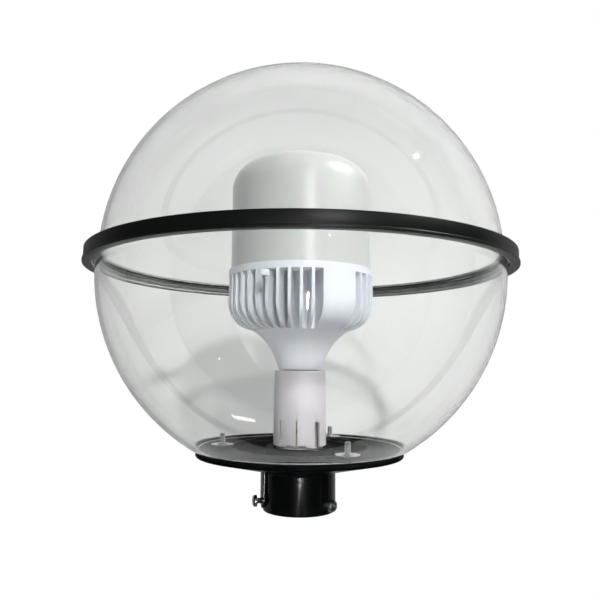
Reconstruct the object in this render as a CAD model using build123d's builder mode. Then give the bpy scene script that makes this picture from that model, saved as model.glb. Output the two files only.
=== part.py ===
from build123d import *
from math import atan2, cos, pi, radians, sin, sqrt, tan
import os

# Globe head for a street light post: two clear hemispheres held in a black ring,
# a black base with a post sleeve, a lampholder and a finned lamp.
# Sizes are in millimetres. The origin is the centre of the sleeve's mouth and Z is up.
# Names that end in _r are radii and names that end in _h are heights above the mouth.
# Angles are in degrees from +X. The side seen from the street, and here, is -Y.

# Shared fits
running_gap = 0.05      # radial play of a screw in its tapped hole
loose_gap = 0.4         # radial play of a screw in a plain hole
slide_gap = 0.3         # between round walls that slide past each other
touch = 0.02            # reach used only to pick edges by their height
overrun = 1.0           # how far a cut runs past the face it opens

# Post sleeve and base moulding
post_d = 48.3
post_clearance = 0.2
sleeve_wall = 2.65
socket_depth = 27.0
web_t = 4.5
cone_foot_h = 28.6
base_rim_r = 77.5
rim_low_h = 40.0
rim_t = 3.0
ledge_width = 27.5
floor_t = 3.0
collar_foot_r = 27.5
collar_top_r = 24.7
collar_bore_r = 21.2
collar_rise = 14.5
pedestal_r = 15.0
pedestal_rise = 10.5
cable_hole_r = 6.0
foot_fillet = 2.0
rim_fillet = 1.2
mouth_fillet = 0.6
collar_fillet = 0.9

# Clamp screws through pads on the sleeve
screw_count = 3
screw_angle = -45.0
screw_h = 7.5
screw_d = 4.0
screw_length = 8.0
screw_head_d = 8.4
screw_head_t = 2.7
screw_tip_chamfer = 0.5
cross_length = 4.4
cross_width = 1.0
cross_depth = 1.3
pad_width = 10.5
pad_proud = 1.5

# Studs and push-on discs that hold the lower hemisphere down
stud_count = 3
stud_angle = -56.0
stud_inset = 8.0        # between the ledge's inner edge and the studs
stud_d = 4.0
stud_length = 16.0
stud_head_d = 8.0
stud_head_t = 2.4
stud_web = 3.5
disc_d = 17.0
disc_t = 0.8
disc_crown_d = 8.0
disc_crown_t = 0.9

# Seals
base_gasket_t = 1.0
base_gasket_inset = 1.0
equator_gasket_t = 1.2

# Hemispheres
lower_dome_r = 152.2
dome_step = 1.8         # how much smaller the upper sphere is
dome_wall = 2.4
dome_overhang = 1.2     # how far the cut sphere stands out past the base rim
dome_corner = 3.0
dome_skirt = 4.2        # straight stretch between the lower sphere and its flange
upper_drop = 1.6        # how far the upper sphere's centre lies below its flange
flange_reach = 4.2      # how far the flanges stand out past the lower sphere
dome_flange_t = 2.4
flange_lap = 1.0        # how far the lower flange's opening stays outside the ledge's edge

# Ring, in two halves
flange_play = 1.4       # between the flanges and the ring's wall
ring_inset = 2.0        # between the lower sphere and the lower half's inner edge
ring_lip = 0.8
ring_t = 2.0
ring_wall = 2.2
upstand_t = 0.8
ring_fillet = 0.6

# Lampholder
holder_low_r = 20.0
holder_top_r = 19.4
holder_wall = 2.0
holder_lift = 5.2       # lower edge of the shell above the pedestal
holder_height = 55.4
holder_sleeve_r = 15.4
holder_edge = 0.7
holder_slit = 1.0
tab_left_angle = -136.0
tab_right_angle = -97.0
tab_height = 19.0
tab_step_height = 7.0
tab_step_depth = 0.7
keyhole_angle = -50.0
keyhole_width = 5.2
keyhole_height = 18.3
bump_width = 6.0
bump_t = 1.2
bump_proud = 0.5
bump_rise = 4.5
notch_depth = 1.4
notch_width = 6.0
notch_angles = (-112.0, -84.0, 20.0, 96.0, 170.0)
carrier_foot_r = 17.2
carrier_foot_t = 4.0
carrier_r = 15.2
carrier_rise = 34.0
carrier_bore_r = 4.5
insert_r = 16.6
insert_t = 4.0
fixing_spread = 10.5
fixing_d = 3.0
fixing_length = 10.0
fixing_head_d = 5.6
fixing_head_t = 2.0
terminal_width = 7.0
terminal_height = 9.0
terminal_depth = 6.0
terminal_rise = 12.0
terminal_screw_d = 3.0
terminal_screw_head_d = 5.0
terminal_screw_head_t = 1.4
terminal_screw_length = 4.5
contact_width = 6.0
contact_t = 0.4
contact_foot = 5.0
contact_reach = 9.0
contact_rise = 1.1

# Screw thread of the lamp cap and the lampholder, seven turns to the inch
thread_pitch = 3.629
thread_turns = 4
cap_crest_r = 13.1
cap_root_r = 12.2
cap_wall = 0.5
cap_top_r = 13.3
cap_height = 20.6       # from the insulator's shoulder to the top inside the neck
cap_thread_start = 0.8
holder_thread_depth = 0.8
holder_thread_wall = 0.5
holder_thread_flange_t = 0.6
holder_thread_start = 4.4

# Lamp, from its tip up
tip_gap = 0.3           # between the tip and the contact spring
tip_r = 4.6
tip_t = 1.1
tip_crown = 0.5
insulator_low_r = 5.2
insulator_t = 3.2
insulator_seat_t = 1.3
neck_gap = 0.5          # between the lampholder's lip and the lamp's neck
neck_low_r = 16.2
neck_r = 17.8
neck_chamfer_h = 3.8
bell_mid_r = 23.8
bell_mid_rise = 13.4
bell_top_rise = 26.0
shoulder_mid_rise = 6.7
shoulder_top_rise = 19.0
housing_r = 55.5
shoulder_width = 18.5   # from the bell's top out to the housing's side
shoulder_mid_inset = 5.3
housing_height = 75.2   # neck to rim
housing_wall = 2.2
rim_depth = 2.6
rim_wall = 1.9
cavity_inset = 4.0      # between the bell's top and the cavity
cavity_low_rise = 4.0
slot_pitch_count = 42
slots_in_panel = 3
panel_angle = -59.6
fin_t = 2.3
slot_core_inset = 0.5   # between the bell's top and the slots' floor
slot_roof_t = 2.4
slot_run_out = 4.0

# Inside the lamp
core_gap = 0.3
core_wall = 1.5
core_flange_inset = 5.5  # between the housing's side and the flange
core_flange_t = 1.2
core_depth = 36.0
led_board_inset = 2.0
led_board_t = 1.6
led_width = 2.8
led_length = 3.5
led_t = 0.8
led_rings = ((6, 0.25), (12, 0.52), (18, 0.8))  # count, and share of the board's radius
board_screw_offset = 10.0  # between the cavity and the screws
board_screw_d = 3.0
board_screw_length = 7.0
board_screw_head_d = 5.6
board_screw_head_t = 1.9
driver_t = 1.6
driver_gap = 0.4
driver_drop = 4.0
driver_height = 31.0
driver_tail_width = 24.0
driver_tail_height = 28.0
capacitor_d = 12.0
capacitor_height = 20.0
capacitor_side_share = 0.48    # of the cup's inner radius, as the next shares are
capacitor_fillet = 1.0
transformer_width_share = 0.64
transformer_height = 18.0
transformer_depth_share = 0.45
transformer_neck = 3.0
wire_d = 1.4
wire_side = 6.0
tail_wire_side = 5.0

# Diffuser
diffuser_inset = 1.5
diffuser_wall = 1.8
diffuser_height = 91.6
diffuser_corner_r = 21.0
diffuser_crown_r = 104.0
diffuser_seat_gap = 0.3
diffuser_skirt_gap = 0.4

# Heights and radii that follow from the sizes above
sleeve_bore_r = post_d / 2 + post_clearance
sleeve_r = sleeve_bore_r + sleeve_wall
ledge_inner_r = base_rim_r - ledge_width
stud_spread = ledge_inner_r + stud_inset
upper_dome_r = lower_dome_r - dome_step
dome_flange_r = lower_dome_r + flange_reach
lower_ring_inner_r = lower_dome_r + ring_inset
ring_r = dome_flange_r + flange_play + ring_wall
bell_top_r = housing_r - shoulder_width
shoulder_mid_r = housing_r - shoulder_mid_inset
cavity_r = bell_top_r - cavity_inset
slot_core_r = bell_top_r - slot_core_inset
board_screw_spread = cavity_r + board_screw_offset
core_flange_r = housing_r - core_flange_inset
led_board_r = core_flange_r - led_board_inset
diffuser_r = housing_r - diffuser_inset
cup_r = cavity_r - core_gap - core_wall
capacitor_side = cup_r * capacitor_side_share
transformer_width = cup_r * transformer_width_share
transformer_depth = cup_r * transformer_depth_share
plate_h = rim_low_h + rim_t
web_top_h = socket_depth + web_t
collar_top_h = web_top_h + collar_rise
pedestal_h = web_top_h + pedestal_rise
dome_base_h = plate_h + base_gasket_t
dome_mouth_r = base_rim_r + dome_overhang
lower_centre_h = dome_base_h + sqrt(lower_dome_r**2 - dome_mouth_r**2)
lower_flange_h = lower_centre_h + dome_skirt
equator_h = lower_flange_h + dome_flange_t
upper_flange_h = equator_h + equator_gasket_t
upper_centre_h = upper_flange_h - upper_drop
upper_ring_h = upper_flange_h + dome_flange_t
ring_low_h = lower_flange_h - ring_t
ring_top_h = upper_ring_h + ring_t
holder_low_h = pedestal_h + holder_lift
holder_top_h = holder_low_h + holder_height
carrier_top_h = pedestal_h + carrier_rise
insert_top_h = carrier_top_h + insert_t
contact_top_h = insert_top_h + contact_rise + contact_t
tip_low_h = contact_top_h + tip_gap
insulator_low_h = tip_low_h + tip_t
cap_low_h = insulator_low_h + insulator_t
neck_low_h = holder_top_h + neck_gap
neck_h = neck_low_h + neck_chamfer_h
bell_top_h = neck_h + bell_top_rise
shoulder_top_h = bell_top_h + shoulder_top_rise
housing_top_h = neck_low_h + housing_height
seat_h = housing_top_h - rim_depth
slot_top_h = seat_h - slot_roof_t
led_board_h = seat_h + core_flange_t
led_board_top_h = led_board_h + led_board_t
diffuser_top_h = housing_top_h + diffuser_height


def underside_h(radius):
    """Height of the base's flared underside at a radius."""
    share = (radius - sleeve_r) / (base_rim_r - sleeve_r)
    return cone_foot_h + (rim_low_h - cone_foot_h) * share


def sphere_r(dome_r, centre_h, height):
    """Radius at which a sphere about the axis passes a height."""
    beside = dome_r**2 - (height - centre_h)**2
    return sqrt(beside) if beside > touch**2 else 0


def sphere_arc(dome_r, centre_h, start_h, end_h):
    """Half outline of a sphere between two heights, as an arc in (radius, height)."""
    start = (sphere_r(dome_r, centre_h, start_h), start_h)
    end = (sphere_r(dome_r, centre_h, end_h), end_h)
    middle = (atan2(start_h - centre_h, start[0]) + atan2(end_h - centre_h, end[0])) / 2
    via = (dome_r * cos(middle), centre_h + dome_r * sin(middle))
    return ThreePointArc(start, via, end)


def radial_plane(angle, distance=0):
    """Plane square to the radius at an angle, this far from the axis, with its own y up."""
    out = Vector(cos(radians(angle)), sin(radians(angle)), 0)
    return Plane(origin=out * distance, x_dir=Vector(-out.Y, out.X, 0), z_dir=out)


def turned(*outline):
    """Turns a closed outline of (radius, height) points about the axis."""
    with BuildSketch(Plane.XZ) as profile:
        with BuildLine():
            Polyline(*outline, close=True)
        make_face()
    revolve(profile.sketch, axis=Axis.Z)


def circles_at(height):
    """The circular edges of the current part that lie at one height, smallest first."""
    level = edges().filter_by(GeomType.CIRCLE).filter_by_position(Axis.Z, height - touch, height + touch)
    return level.sort_by(SortBy.RADIUS)


def save(part, name):
    """Labels a finished piece and writes it to its own file."""
    part.label = name
    export_step(part, f"parts/{name}.step")


os.makedirs("parts", exist_ok=True)
screw_angles = [screw_angle + turn * 360 / screw_count for turn in range(screw_count)]

# Base: sleeve, flared underside, ledge for the hemisphere, sunk floor and lampholder collar
pad_face_r = sleeve_r + pad_proud
pad_root_r = sleeve_r - sleeve_wall / 2
pad_height = underside_h(pad_face_r) + rim_fillet - screw_h
stud_seat_h = plate_h - stud_web
stud_hole_r = stud_d / 2 + loose_gap
stud_pocket_r = stud_head_d / 2 + loose_gap
stud_pocket_depth = stud_seat_h - underside_h(stud_spread - stud_pocket_r) + overrun
fixing_reach = fixing_length - carrier_foot_t
with BuildPart() as base_plate:
    turned(
        (sleeve_bore_r, 0),
        (sleeve_r, 0),
        (sleeve_r, cone_foot_h),
        (base_rim_r, rim_low_h),
        (base_rim_r, plate_h),
        (ledge_inner_r, plate_h),
        (ledge_inner_r, underside_h(ledge_inner_r) + floor_t),
        (collar_foot_r, web_top_h),
        (collar_top_r, collar_top_h),
        (collar_bore_r, collar_top_h),
        (collar_bore_r, web_top_h),
        (pedestal_r, web_top_h),
        (pedestal_r, pedestal_h),
        (cable_hole_r, pedestal_h),
        (cable_hole_r, socket_depth),
        (sleeve_bore_r, socket_depth),
    )
    fillet(circles_at(cone_foot_h)[-1], foot_fillet)
    fillet(circles_at(rim_low_h)[-1], rim_fillet)
    fillet(circles_at(plate_h)[-1], rim_fillet)
    fillet(circles_at(0)[-1], mouth_fillet)
    fillet(circles_at(collar_top_h)[-1], collar_fillet)
    for angle in screw_angles:
        with BuildSketch(radial_plane(angle, pad_root_r)):
            with Locations((0, screw_h)):
                Rectangle(pad_width, pad_height, align=(Align.CENTER, Align.MIN))
                Circle(pad_width / 2)
        extrude(amount=pad_face_r - pad_root_r)
    for angle in screw_angles:
        with BuildSketch(radial_plane(angle, sleeve_bore_r / 2)):
            with Locations((0, screw_h)):
                Circle(screw_d / 2)
        extrude(amount=pad_face_r - sleeve_bore_r / 2 + overrun, mode=Mode.SUBTRACT)
    with BuildSketch(Plane.XY.offset(plate_h)):
        with PolarLocations(stud_spread, stud_count, start_angle=stud_angle):
            Circle(stud_hole_r)
    extrude(amount=-(stud_web + overrun), mode=Mode.SUBTRACT)
    with BuildSketch(Plane.XY.offset(stud_seat_h)):
        with PolarLocations(stud_spread, stud_count, start_angle=stud_angle):
            Circle(stud_pocket_r)
    extrude(amount=-stud_pocket_depth, mode=Mode.SUBTRACT)
    with BuildSketch(Plane.XY.offset(pedestal_h)):
        with PolarLocations(fixing_spread, 2):
            Circle(fixing_d / 2)
    extrude(amount=-(fixing_reach + running_gap), mode=Mode.SUBTRACT)
save(base_plate.part, "base_plate")

# Clamp screws: pan heads with a cross recess, their tips level with the bore
screw_tip_r = sleeve_bore_r + running_gap
screw_seat_r = screw_tip_r + screw_length
for number, angle in enumerate(screw_angles, start=1):
    with BuildPart() as clamp_screw:
        with BuildSketch(radial_plane(angle, screw_tip_r)):
            with Locations((0, screw_h)):
                Circle(screw_d / 2 - running_gap)
        extrude(amount=screw_length)
        chamfer(edges().group_by(Axis(radial_plane(angle).origin, radial_plane(angle).z_dir))[0],
                screw_tip_chamfer)
        with BuildSketch(radial_plane(angle, screw_seat_r)):
            with Locations((0, screw_h)):
                Circle(screw_head_d / 2)
        extrude(amount=screw_head_t)
        crown = edges().group_by(Axis(radial_plane(angle).origin, radial_plane(angle).z_dir))[-1]
        fillet(crown, screw_head_t * 0.6)
        with BuildSketch(radial_plane(angle, screw_seat_r + screw_head_t)):
            with Locations((0, screw_h)):
                Rectangle(cross_length, cross_width)
                Rectangle(cross_width, cross_length)
        extrude(amount=-cross_depth, mode=Mode.SUBTRACT)
    save(clamp_screw.part, f"clamp_screw_{number}")

# Flat seal between the base's ledge and the lower hemisphere
flange_hole_r = ledge_inner_r + flange_lap
with BuildPart() as base_gasket:
    with BuildSketch(Plane.XY.offset(plate_h)):
        Circle(base_rim_r - rim_fillet - base_gasket_inset)
        Circle(flange_hole_r, mode=Mode.SUBTRACT)
        with PolarLocations(stud_spread, stud_count, start_angle=stud_angle):
            Circle(stud_hole_r, mode=Mode.SUBTRACT)
    extrude(amount=base_gasket_t)
save(base_gasket.part, "base_gasket")

# Lower hemisphere: clear moulded shell, flat foot, short skirt and outward flange
dome_floor_h = dome_base_h + dome_wall
lower_inner_r = lower_dome_r - dome_wall
with BuildPart() as lower_dome:
    with BuildSketch(Plane.XZ):
        with BuildLine():
            outside = sphere_arc(lower_dome_r, lower_centre_h, dome_base_h, lower_centre_h)
            inside = sphere_arc(lower_inner_r, lower_centre_h, lower_centre_h, dome_floor_h)
            Polyline(
                outside @ 1,
                (lower_dome_r, lower_flange_h),
                (dome_flange_r, lower_flange_h),
                (dome_flange_r, equator_h),
                (lower_inner_r, equator_h),
                inside @ 0,
            )
            Polyline(
                inside @ 1,
                (flange_hole_r, dome_floor_h),
                (flange_hole_r, dome_base_h),
                outside @ 0,
            )
        make_face()
    revolve(axis=Axis.Z)
    fillet(circles_at(dome_base_h)[-1], dome_corner)
    with BuildSketch(Plane.XY.offset(dome_base_h)):
        with PolarLocations(stud_spread, stud_count, start_angle=stud_angle):
            Circle(stud_hole_r)
    extrude(amount=dome_wall, mode=Mode.SUBTRACT)
save(lower_dome.part, "lower_dome")

# Studs from under the base, their heads in pockets and their threads standing up inside
with BuildPart() as dome_studs:
    with BuildSketch(Plane.XY.offset(stud_seat_h)):
        with PolarLocations(stud_spread, stud_count, start_angle=stud_angle):
            Circle(stud_d / 2)
    extrude(amount=stud_length)
    chamfer(edges().group_by(Axis.Z)[-1], screw_tip_chamfer)
    with BuildSketch(Plane.XY.offset(stud_seat_h)):
        with PolarLocations(stud_spread, stud_count, start_angle=stud_angle):
            Circle(stud_head_d / 2)
    extrude(amount=-stud_head_t)
    fillet(edges().group_by(Axis.Z)[0], stud_head_t * 0.4)
    with BuildSketch(Plane.XY.offset(stud_seat_h - stud_head_t)):
        with PolarLocations(stud_spread, stud_count, start_angle=stud_angle):
            Rectangle(cross_length, cross_width)
            Rectangle(cross_width, cross_length)
    extrude(amount=cross_depth, mode=Mode.SUBTRACT)
save(dome_studs.part, "dome_studs")

# Push-on discs that grip the studs and press the hemisphere's foot down
with BuildPart() as stud_discs:
    with BuildSketch(Plane.XY.offset(dome_floor_h)):
        with PolarLocations(stud_spread, stud_count, start_angle=stud_angle):
            Circle(disc_d / 2)
            Circle(stud_d / 2 + running_gap, mode=Mode.SUBTRACT)
    extrude(amount=disc_t)
    with BuildSketch(Plane.XY.offset(dome_floor_h + disc_t)):
        with PolarLocations(stud_spread, stud_count, start_angle=stud_angle):
            Circle(disc_crown_d / 2)
            Circle(stud_d / 2 + running_gap, mode=Mode.SUBTRACT)
    extrude(amount=disc_crown_t, taper=30)
save(stud_discs.part, "stud_discs")

# Lower half of the ring: a flat band with a lip outside and an upstand inside
upstand_r = ring_r - ring_wall - slide_gap
with BuildPart() as ring_lower:
    turned(
        (lower_ring_inner_r, ring_low_h),
        (ring_r + ring_lip, ring_low_h),
        (ring_r + ring_lip, lower_flange_h),
        (upstand_r, lower_flange_h),
        (upstand_r, upper_flange_h),
        (upstand_r - upstand_t, upper_flange_h),
        (upstand_r - upstand_t, lower_flange_h),
        (lower_ring_inner_r, lower_flange_h),
    )
    fillet(circles_at(ring_low_h)[-1], ring_fillet)
    fillet(circles_at(ring_low_h)[0], ring_fillet)
save(ring_lower.part, "ring_lower")

# Seal between the two flanges
with BuildPart() as equator_gasket:
    with BuildSketch(Plane.XY.offset(equator_h)):
        Circle(dome_flange_r)
        Circle(lower_dome_r, mode=Mode.SUBTRACT)
    extrude(amount=equator_gasket_t)
save(equator_gasket.part, "equator_gasket")

# Upper half of the ring: an outer wall and a flat top over the upper flange
with BuildPart() as ring_upper:
    turned(
        (ring_r - ring_wall, lower_flange_h),
        (ring_r, lower_flange_h),
        (ring_r, ring_top_h),
        (upper_dome_r + slide_gap, ring_top_h),
        (upper_dome_r + slide_gap, upper_ring_h),
        (ring_r - ring_wall, upper_ring_h),
    )
    fillet(circles_at(ring_top_h)[-1], ring_fillet)
    fillet(circles_at(ring_top_h)[0], ring_fillet)
save(ring_upper.part, "ring_upper")

# Upper hemisphere: clear moulded shell with an outward flange
upper_inner_r = upper_dome_r - dome_wall
with BuildPart() as upper_dome:
    with BuildSketch(Plane.XZ):
        with BuildLine():
            crown_h = upper_centre_h + upper_dome_r
            outside = sphere_arc(upper_dome_r, upper_centre_h, upper_ring_h, crown_h)
            inside = sphere_arc(upper_inner_r, upper_centre_h, crown_h - dome_wall, upper_flange_h)
            Line(outside @ 1, inside @ 0)
            Polyline(
                inside @ 1,
                (dome_flange_r, upper_flange_h),
                (dome_flange_r, upper_ring_h),
                outside @ 0,
            )
        make_face()
    revolve(axis=Axis.Z)
save(upper_dome.part, "upper_dome")

# Lampholder shell: tapered tube with a snap tab, a keyhole for the wires and a rough lower edge
shoulder_h = insert_top_h
low_inner_r = holder_low_r - holder_wall
top_inner_r = holder_top_r - holder_wall
with BuildPart() as lampholder_shell:
    turned(
        (low_inner_r, holder_low_h),
        (holder_low_r, holder_low_h),
        (holder_top_r, holder_top_h),
        (holder_sleeve_r, holder_top_h),
        (holder_sleeve_r, shoulder_h),
        (top_inner_r, shoulder_h),
    )
    fillet(circles_at(holder_top_h), holder_edge)
    for angle in (tab_left_angle, tab_right_angle):
        with BuildSketch(radial_plane(angle, pedestal_r)):
            with Locations((0, holder_low_h - overrun)):
                Rectangle(holder_slit, tab_height + overrun, align=(Align.CENTER, Align.MIN))
        extrude(amount=holder_low_r - pedestal_r + overrun, mode=Mode.SUBTRACT)
    tab_middle = (tab_left_angle + tab_right_angle) / 2
    tab_reach = holder_low_r * tan(radians((tab_right_angle - tab_left_angle) / 2))
    with BuildSketch(Plane.XY.offset(holder_low_h)):
        Circle(holder_low_r + overrun)
        Circle(holder_low_r - tab_step_depth, mode=Mode.SUBTRACT)
        with Locations(Location((0, 0, 0), (0, 0, tab_middle))):
            Polygon(
                (0, 0),
                (holder_low_r * 2, -tab_reach * 2),
                (holder_low_r * 2, tab_reach * 2),
                align=None,
                mode=Mode.INTERSECT,
            )
    extrude(amount=tab_step_height, mode=Mode.SUBTRACT)
    with BuildSketch(radial_plane(keyhole_angle, pedestal_r)):
        with Locations((0, holder_low_h - overrun)):
            Rectangle(
                keyhole_width,
                keyhole_height - keyhole_width / 2 + overrun,
                align=(Align.CENTER, Align.MIN),
            )
        with Locations((0, holder_low_h + keyhole_height - keyhole_width / 2)):
            Circle(keyhole_width / 2)
    extrude(amount=holder_low_r - pedestal_r + overrun, mode=Mode.SUBTRACT)
    for angle in notch_angles:
        with BuildSketch(radial_plane(angle, pedestal_r)):
            with Locations((0, holder_low_h - overrun)):
                Rectangle(notch_width, notch_depth + overrun, align=(Align.CENTER, Align.MIN))
        extrude(amount=holder_low_r - pedestal_r + overrun, mode=Mode.SUBTRACT)
    bump_h = holder_low_h + keyhole_height + bump_rise
    with BuildSketch(radial_plane(keyhole_angle, top_inner_r + holder_wall / 2)):
        with Locations((0, bump_h)):
            SlotOverall(bump_width, bump_t)
    extrude(amount=holder_wall / 2 + bump_proud)
save(lampholder_shell.part, "lampholder_shell")

# Lampholder carrier: the moulded block that stands on the pedestal and holds the terminals
terminal_h = pedestal_h + carrier_foot_t + terminal_rise
with BuildPart() as lampholder_carrier:
    turned(
        (carrier_bore_r, pedestal_h),
        (carrier_foot_r, pedestal_h),
        (carrier_foot_r, pedestal_h + carrier_foot_t),
        (carrier_r, pedestal_h + carrier_foot_t),
        (carrier_r, carrier_top_h),
        (carrier_bore_r, carrier_top_h),
    )
    with BuildSketch(Plane.XY.offset(pedestal_h)):
        with PolarLocations(fixing_spread, 2):
            Circle(fixing_d / 2 + loose_gap)
    extrude(amount=carrier_foot_t, mode=Mode.SUBTRACT)
    with BuildSketch(Plane.XY.offset(pedestal_h + carrier_foot_t)):
        with PolarLocations(fixing_spread, 2):
            Circle(fixing_head_d / 2 + loose_gap)
    extrude(amount=carrier_rise - carrier_foot_t, mode=Mode.SUBTRACT)
    for angle in (90, 270):
        with BuildSketch(radial_plane(angle, carrier_r - terminal_depth)):
            with Locations((0, terminal_h)):
                Rectangle(terminal_width, terminal_height)
        extrude(amount=terminal_depth + overrun, mode=Mode.SUBTRACT)
save(lampholder_carrier.part, "lampholder_carrier")

# Two screws that fix the carrier to the pedestal
with BuildPart() as lampholder_fixing_screws:
    with BuildSketch(Plane.XY.offset(pedestal_h - fixing_reach)):
        with PolarLocations(fixing_spread, 2):
            Circle(fixing_d / 2 - running_gap)
    extrude(amount=fixing_length)
    with BuildSketch(Plane.XY.offset(pedestal_h + carrier_foot_t)):
        with PolarLocations(fixing_spread, 2):
            Circle(fixing_head_d / 2)
    extrude(amount=fixing_head_t)
    fillet(edges().group_by(Axis.Z)[-1], fixing_head_t / 2)
save(lampholder_fixing_screws.part, "lampholder_fixing_screws")

# Brass terminal blocks in the carrier's side pockets
terminal_face_r = carrier_r - terminal_screw_head_t
with BuildPart() as lampholder_terminals:
    for angle in (90, 270):
        with BuildSketch(radial_plane(angle, carrier_r - terminal_depth)):
            with Locations((0, terminal_h)):
                Rectangle(terminal_width - 2 * running_gap, terminal_height - 2 * running_gap)
        extrude(amount=terminal_depth - terminal_screw_head_t)
        with BuildSketch(radial_plane(angle, terminal_face_r)):
            with Locations((0, terminal_h)):
                Circle(terminal_screw_d / 2)
        extrude(amount=-(terminal_screw_length + running_gap), mode=Mode.SUBTRACT)
save(lampholder_terminals.part, "lampholder_terminals")

# Screws that pinch the supply wires in the terminals
with BuildPart() as terminal_screws:
    for angle in (90, 270):
        with BuildSketch(radial_plane(angle, terminal_face_r - terminal_screw_length)):
            with Locations((0, terminal_h)):
                Circle(terminal_screw_d / 2 - running_gap)
        extrude(amount=terminal_screw_length)
        with BuildSketch(radial_plane(angle, terminal_face_r)):
            with Locations((0, terminal_h)):
                Circle(terminal_screw_head_d / 2)
        extrude(amount=terminal_screw_head_t)
save(terminal_screws.part, "terminal_screws")

# Porcelain disc that carries the live parts
with BuildPart() as lampholder_insert:
    with BuildSketch(Plane.XY.offset(carrier_top_h)):
        Circle(insert_r)
    extrude(amount=insert_t)
save(lampholder_insert.part, "lampholder_insert")

# Threaded brass shell of the lampholder, with a foot flange on the porcelain
holder_thread_r = cap_crest_r + slide_gap
holder_thread_outer_r = holder_thread_r + holder_thread_depth + holder_thread_wall
holder_thread_h = insert_top_h + holder_thread_start
holder_thread_top_h = holder_thread_h + thread_turns * thread_pitch
with BuildPart() as lampholder_thread_shell:
    with BuildSketch(Plane.XZ):
        with BuildLine():
            for turn in range(thread_turns):
                low_h = holder_thread_h + turn * thread_pitch
                ThreePointArc(
                    (holder_thread_r, low_h),
                    (holder_thread_r + holder_thread_depth, low_h + thread_pitch / 2),
                    (holder_thread_r, low_h + thread_pitch),
                )
            Polyline(
                (holder_thread_r, holder_thread_top_h),
                (holder_thread_outer_r, holder_thread_top_h),
                (holder_thread_outer_r, insert_top_h + holder_thread_flange_t),
                (holder_sleeve_r - running_gap, insert_top_h + holder_thread_flange_t),
                (holder_sleeve_r - running_gap, insert_top_h),
                (cap_root_r, insert_top_h),
                (cap_root_r, insert_top_h + holder_thread_flange_t),
                (holder_thread_r, insert_top_h + holder_thread_flange_t),
                (holder_thread_r, holder_thread_h),
            )
        make_face()
    revolve(axis=Axis.Z)
save(lampholder_thread_shell.part, "lampholder_thread_shell")

# Contact spring: a bent strip whose raised end meets the lamp's tip
with BuildPart() as lampholder_contact:
    with BuildSketch(Plane.XZ):
        with BuildLine():
            Polyline(
                (-contact_reach, insert_top_h),
                (-contact_reach + contact_foot, insert_top_h),
                (-contact_t, contact_top_h - contact_t),
                (contact_foot, contact_top_h - contact_t),
                (contact_foot, contact_top_h),
                (-contact_t * 2, contact_top_h),
                (-contact_reach + contact_foot - contact_t, insert_top_h + contact_t),
                (-contact_reach, insert_top_h + contact_t),
                close=True,
            )
        make_face()
    extrude(amount=contact_width / 2, both=True)
save(lampholder_contact.part, "lampholder_contact")

# Lamp tip: the solder contact on the axis
with BuildPart() as bulb_tip_contact:
    with BuildSketch(Plane.XY.offset(tip_low_h)):
        Circle(tip_r)
    extrude(amount=tip_t)
    fillet(edges().group_by(Axis.Z)[0], tip_crown)
save(bulb_tip_contact.part, "bulb_tip_contact")

# Black insulator between the tip and the cap's shell
cap_bore_r = cap_root_r - cap_wall
with BuildPart() as bulb_cap_insulator:
    turned(
        (0, insulator_low_h),
        (insulator_low_r, insulator_low_h),
        (cap_bore_r, cap_low_h),
        (cap_bore_r, cap_low_h + insulator_seat_t),
        (0, cap_low_h + insulator_seat_t),
    )
save(bulb_cap_insulator.part, "bulb_cap_insulator")

# Threaded shell of the lamp cap, glued into the neck
cap_thread_h = cap_low_h + cap_thread_start
cap_thread_top_h = cap_thread_h + thread_turns * thread_pitch
cap_top_h = cap_low_h + cap_height
with BuildPart() as bulb_cap_shell:
    with BuildSketch(Plane.XZ):
        with BuildLine():
            for turn in range(thread_turns):
                low_h = cap_thread_h + turn * thread_pitch
                ThreePointArc(
                    (cap_root_r, low_h),
                    (cap_crest_r, low_h + thread_pitch / 2),
                    (cap_root_r, low_h + thread_pitch),
                )
            Polyline(
                (cap_root_r, cap_thread_top_h),
                (cap_top_r, cap_thread_top_h + thread_pitch / 2),
                (cap_top_r, cap_top_h),
                (cap_bore_r, cap_top_h),
                (cap_bore_r, cap_low_h),
                (cap_root_r, cap_low_h),
                (cap_root_r, cap_thread_h),
            )
        make_face()
    revolve(axis=Axis.Z)
save(bulb_cap_shell.part, "bulb_cap_shell")

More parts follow.
